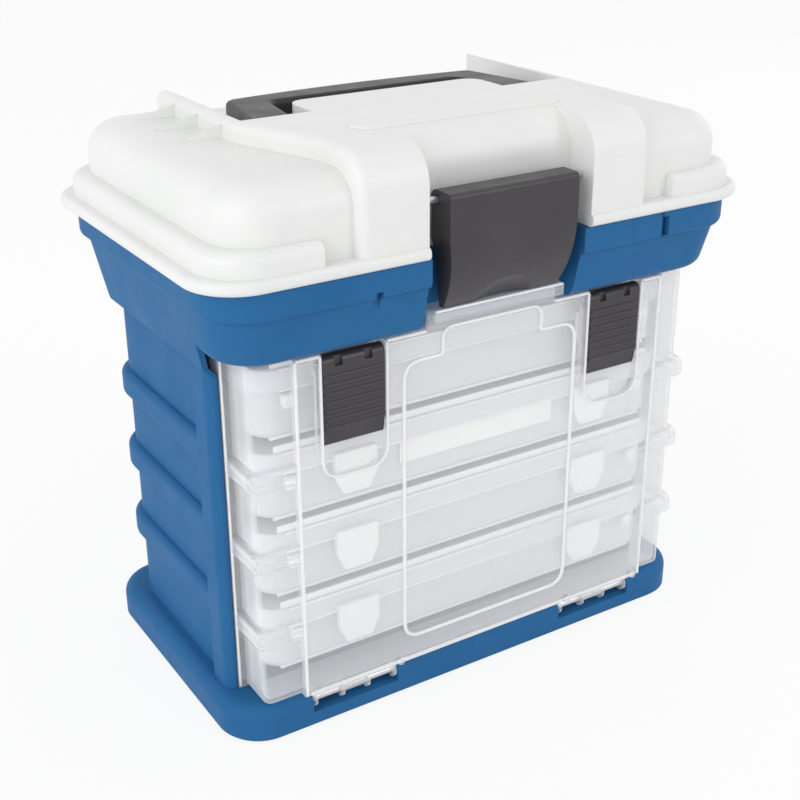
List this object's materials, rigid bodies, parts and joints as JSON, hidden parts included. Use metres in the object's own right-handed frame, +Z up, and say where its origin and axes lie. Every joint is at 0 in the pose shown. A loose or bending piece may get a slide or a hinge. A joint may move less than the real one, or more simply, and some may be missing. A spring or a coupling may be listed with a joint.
{
  "type": "fishing tackle cabinet",
  "caption": "Portable tackle cabinet: plinth, ribbed housing with pull-out clear utility boxes behind a drop-down clear door, and a hinged lid over an open tub with a folding carry handle.",
  "frame": {"origin": "centre of the plinth's footprint, on the floor plane", "axes": "+Z up, +X along the cabinet's width to the right as seen from the front, -Y out of the door's front"},
  "size_m": [0.265, 0.1744, 0.253],
  "materials": {
    "blue": "satin moulded polypropylene",
    "white": "satin moulded",
    "black": "satin",
    "graphite": "fine-grained satin",
    "clear": "clear, glossy",
    "box": "frosted clear",
    "latch": "milky",
    "steel": "plain"
  },
  "bodies": {
    "cabinet": {"base_plinth": "blue", "door_hinge_pins": "steel", "side_panel_left": "blue", "side_panel_right": "blue", "back_panel": "blue", "top_tub": "blue", "lid_hinge_pins": "steel"},
    "lid": {"lid": "white", "handle_pivot_pins": "steel", "main_latch_pin": "steel"},
    "handle": {"carry_handle": "black"},
    "main_latch": {"main_latch": "graphite"},
    "door": {"door": "clear", "door_latch_pins": "steel"},
    "door_latch_left": {"door_latch_left": "graphite"},
    "door_latch_right": {"door_latch_right": "graphite"},
    "box_1": {"box_1_tray": "box", "box_1_lid": "box", "box_1_dividers": "box", "box_1_latches": "latch", "box_1_hinge_pin": "steel"},
    "box_2": {"box_2_tray": "box", "box_2_lid": "box", "box_2_dividers": "box", "box_2_latches": "latch", "box_2_hinge_pin": "steel"},
    "box_3": {"box_3_tray": "box", "box_3_lid": "box", "box_3_dividers": "box", "box_3_latches": "latch", "box_3_hinge_pin": "steel"},
    "box_4": {"box_4_tray": "box", "box_4_lid": "box", "box_4_dividers": "box", "box_4_latches": "latch", "box_4_hinge_pin": "steel"}
  },
  "joints": [
    {"name": "lid_hinge", "type": "hinge", "parent": "cabinet", "child": "lid", "pos_m": [0, 0.0832, 0.2062], "axis": [-1, 0, 0], "range_deg": [0, 100]},
    {"name": "handle_hinge", "type": "hinge", "parent": "lid", "child": "handle", "pos_m": [0, -0.005, 0.2455], "axis": [1, 0, 0], "range_deg": [0, 90]},
    {"name": "main_latch_hinge", "type": "hinge", "parent": "lid", "child": "main_latch", "pos_m": [0, -0.0782, 0.228], "axis": [-1, 0, 0], "range_deg": [0, 90]},
    {"name": "door_hinge", "type": "hinge", "parent": "cabinet", "child": "door", "pos_m": [0, -0.0675, 0.0125], "axis": [1, 0, 0], "range_deg": [0, 90]},
    {"name": "door_latch_left_hinge", "type": "hinge", "parent": "door", "child": "door_latch_left", "pos_m": [0, -0.0703, 0.1686], "axis": [-1, 0, 0], "range_deg": [0, 90]},
    {"name": "door_latch_right_hinge", "type": "hinge", "parent": "door", "child": "door_latch_right", "pos_m": [0, -0.0703, 0.1686], "axis": [-1, 0, 0], "range_deg": [0, 90]},
    {"name": "box_1_slide", "type": "slide", "parent": "cabinet", "child": "box_1", "axis": [0, -1, 0], "range_m": [0, 0.095]},
    {"name": "box_2_slide", "type": "slide", "parent": "cabinet", "child": "box_2", "axis": [0, -1, 0], "range_m": [0, 0.095]},
    {"name": "box_3_slide", "type": "slide", "parent": "cabinet", "child": "box_3", "axis": [0, -1, 0], "range_m": [0, 0.076]},
    {"name": "box_4_slide", "type": "slide", "parent": "cabinet", "child": "box_4", "axis": [0, -1, 0], "range_m": [0, 0.0235]}
  ],
  "couplings": [
    {"joint": "box_1_slide", "follows": "door_hinge", "m_per_rad": 0.06},
    {"joint": "box_2_slide", "follows": "door_hinge", "m_per_rad": 0.06},
    {"joint": "box_3_slide", "follows": "door_hinge", "m_per_rad": 0.048},
    {"joint": "box_4_slide", "follows": "door_hinge", "m_per_rad": 0.0145}
  ]
}
